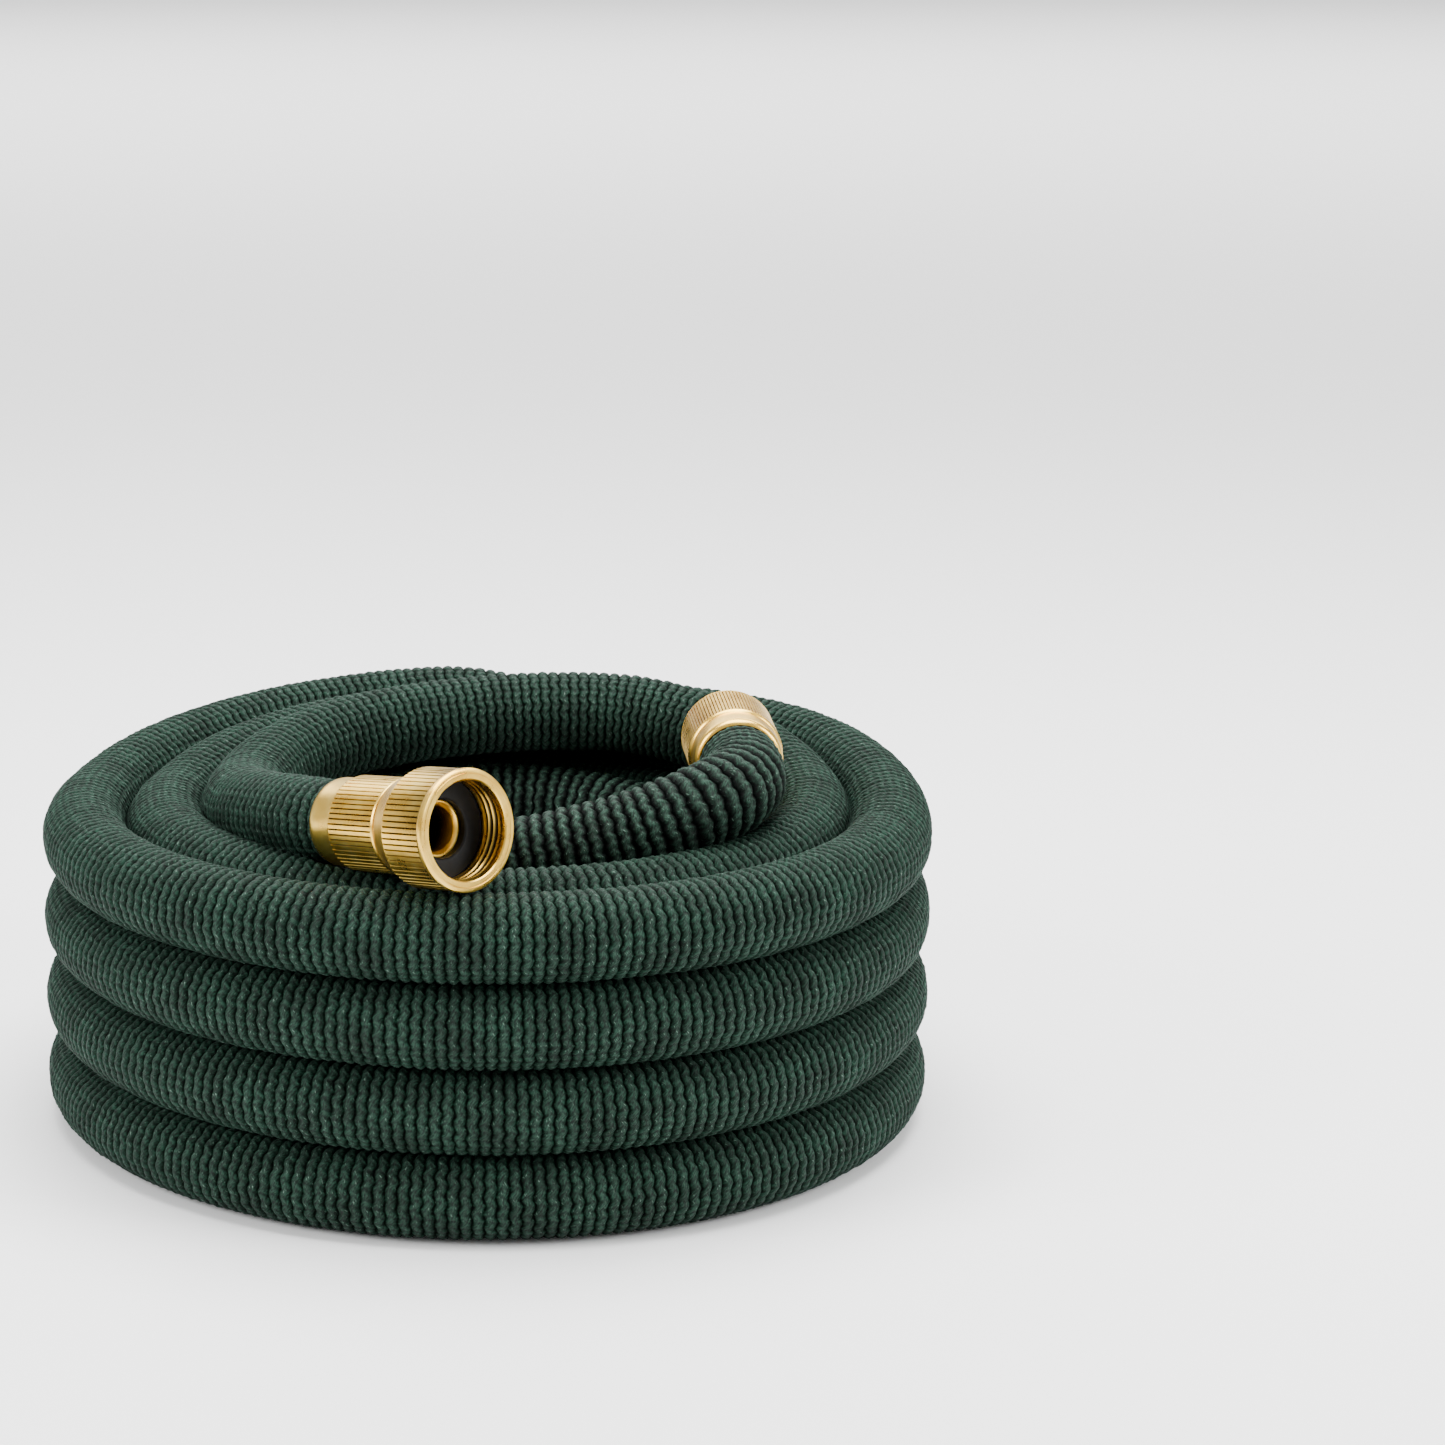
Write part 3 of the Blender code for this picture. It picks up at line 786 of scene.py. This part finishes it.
def swivel_nut(matrix, brass):
    """Coned shoulder, knurled grip and rim outside, and the threaded socket inside."""
    grip = knurl(*NUT_KNURL)
    socket_thread = thread(*SOCKET_THREAD)

    def relief(radius, angle, height):
        return grip(radius, angle, height) + socket_thread(radius, angle, height)

    # Painted shade: a dark line in the groove where the knurl meets the rim, and a darker rim face
    def painted_shade(radius, height):
        if radius > EDGE_LINE_RADIUS and EDGE_LINE[0] < height < EDGE_LINE[1]:
            return EDGE_LINE_SHADE
        return RIM_SHADE if RIM_RADII[0] < radius < RIM_RADII[1] and height > RIM_HEIGHT else 0.0

    profile = [
        (12.9, 21.6), (14.1, 21.6), (14.2, 21.5), (14.3, 21.6), (14.9, 21.6), (15.3, 21.5), (15.5, 21.2),
        (15.5, 20.4), (15.4, 20.0), (15.3, 19.7), (15.3, 19.6), (15.3, 6.7), (15.3, 6.6), (15.1, 6.4),
        (14.9, 6.0), (14.6, 5.2), (14.1, 4.0), (13.6, 2.7), (13.1, 1.4), (12.7, 0.4), (12.45, 0.1),
        (12.1, 0.0), (9.3, 0.0), (9.3, 6.4), (13.1, 6.4), (13.1, 12.9),
        *[(12.5, height) for height in spaced(13.2, 20.5, THREAD_ROWS)], (12.6, 21.3),
    ]
    steps = NUT_KNURL[0] * STEPS_A_KNURL
    return turned_piece("knurled_swivel_nut", profile, steps, matrix, brass, relief, painted_shade)


def hose_washer(matrix, rubber):
    """Flat washer, rounded where its face meets the bore."""
    profile = [
        (12.6, 12.5), (12.7, 12.3), (12.7, 9.7), (12.6, 9.5), (7.5, 9.5), (7.4, 9.7), (7.4, 12.0),
        (7.8, 12.4), (8.6, 12.5),
    ]
    return turned_piece("hose_washer", profile, PLAIN_STEPS, matrix, rubber)


def outlet_sleeve(matrix, brass):
    """Wide smooth collar and the knurled ring of the outlet end."""
    profile = [
        (12.2, 30.0), (12.6, 29.8), (12.85, 29.4), (12.85, 29.3), (12.85, 29.2), (12.85, 9.3),
        (12.85, 9.2), (12.7, 8.9), (12.4, 8.6), (12.2, 8.4), (12.2, 8.2), (12.2, 2.4), (12.1, 1.5),
        (11.8, 0.7), (11.3, 0.2), (10.8, 0.0), (10.4, 0.4), (10.3, 3.0), (9.3, 4.0), (9.3, 30.0),
    ]
    steps = OUTLET_KNURL[0] * STEPS_A_KNURL
    return turned_piece("crimp_sleeve_outlet", profile, steps, matrix, brass, knurl(*OUTLET_KNURL))


def outlet_thread(matrix, brass):
    """Male pipe thread with its bore, past the sleeve."""
    profile = [
        (9.2, 38.5), *[(10.45, height) for height in spaced(38.2, 31.6, THREAD_ROWS)],
        (9.6, 31.5), (9.6, 30.3), (9.0, 30.3), (9.0, 4.2), (6.0, 4.2), (6.0, 38.0), (6.6, 38.5),
    ]
    return turned_piece(
        "male_thread_outlet", profile, THREAD_STEPS, matrix, brass, thread(*OUTLET_THREAD),
    )


def build_fittings(brass, rubber):
    """Each turned piece, with its node, the body that it moves with and its finish."""
    tail = INLET_FACE_CENTRE - INLET_AXIS * INLET_LENGTH
    at_inlet = axis_matrix(tail, INLET_AXIS)
    at_nut = axis_matrix(INLET_FACE_CENTRE - INLET_AXIS * (INLET_LENGTH - NUT_START), INLET_AXIS)
    at_outlet = axis_matrix(OUTLET_REAR_CENTRE, OUTLET_AXIS)
    for piece, node, body, finish in (
        (inlet_sleeve(at_inlet, brass), "inlet_sleeve", "hose", "brass"),
        (inlet_tailpiece(at_inlet, brass), "inlet_tailpiece", "hose", "brass"),
        (swivel_nut(at_nut, brass), "swivel_nut", "inlet_nut", "brass"),
        (hose_washer(at_nut, rubber), "sealing_washer", "inlet_nut", "washer_rubber"),
        (outlet_sleeve(at_outlet, brass), "outlet_sleeve", "hose", "brass"),
        (outlet_thread(at_outlet, brass), "outlet_threaded_end", "hose", "brass"),
    ):
        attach(piece, body)
        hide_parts(node)


def build_camera():
    """Camera at the photograph's angle."""
    camera = bpy.data.cameras.new("camera")
    camera.sensor_width = SENSOR_WIDTH
    camera.sensor_fit = "HORIZONTAL"
    camera.lens = SENSOR_WIDTH * FOCAL_PIXELS / IMAGE_SIZE
    camera.shift_x, camera.shift_y = LENS_SHIFT
    camera.clip_start = NEAREST_SEEN
    holder = bpy.data.objects.new("camera", camera)
    holder.location = CAMERA_PLACE
    holder.rotation_euler = (CAMERA_TARGET - CAMERA_PLACE).to_track_quat("-Z", "Y").to_euler()
    bpy.context.scene.collection.objects.link(holder)
    bpy.context.scene.camera = holder


def build_floor():
    """Plain pale studio paper, a hair below the hose so that the two don't flicker."""
    sheet = bmesh.new()
    bmesh.ops.create_grid(sheet, x_segments=1, y_segments=1, size=FLOOR_REACH)
    bmesh.ops.translate(sheet, verts=sheet.verts, vec=(0.0, 0.0, -FLOOR_DROP))
    mesh = bpy.data.meshes.new("floor")
    sheet.to_mesh(mesh)
    sheet.free()
    paper, shader = new_material("studio_paper")
    feed(paper, shader, {"Base Color": "#fafafa", "Roughness": 0.9})
    mesh.materials.append(paper)
    floor = bpy.data.objects.new("floor", mesh)
    bpy.context.scene.collection.objects.link(floor)


def build_lights():
    """Soft even light all round, with large soft boxes above, at both sides and over the backdrop."""
    world = bpy.data.worlds.new("studio")
    world.use_nodes = True
    background = world.node_tree.nodes["Background"]
    background.inputs["Color"].default_value = linear("#ffffff")
    background.inputs["Strength"].default_value = WORLD_STRENGTH
    bpy.context.scene.world = world
    for name, place, target, size, watts in AREA_LIGHTS:
        light = bpy.data.lights.new(name, "AREA")
        light.shape = "RECTANGLE"
        light.size, light.size_y = size
        light.energy = watts
        holder = bpy.data.objects.new(name, light)
        holder.location = place
        holder.rotation_euler = (Vector(target) - Vector(place)).to_track_quat("-Z", "Y").to_euler()
        bpy.context.scene.collection.objects.link(holder)


def main():
    build_camera()
    build_floor()
    build_lights()
    cover = knitted_polyester("knitted_polyester", RIB_PITCH, COVER_COLOURS_WITH_GROOVE_SHADE)
    stretched_cover = knitted_polyester(
        "knitted_polyester_stretched", OUTLET_RIB_PITCH, STRETCHED_COLOURS_WITH_GROOVE_SHADE,
    )
    build_hose(cover, stretched_cover)
    build_fittings(turned_brass("turned_brass"), moulded_rubber("moulded_rubber"))


main()
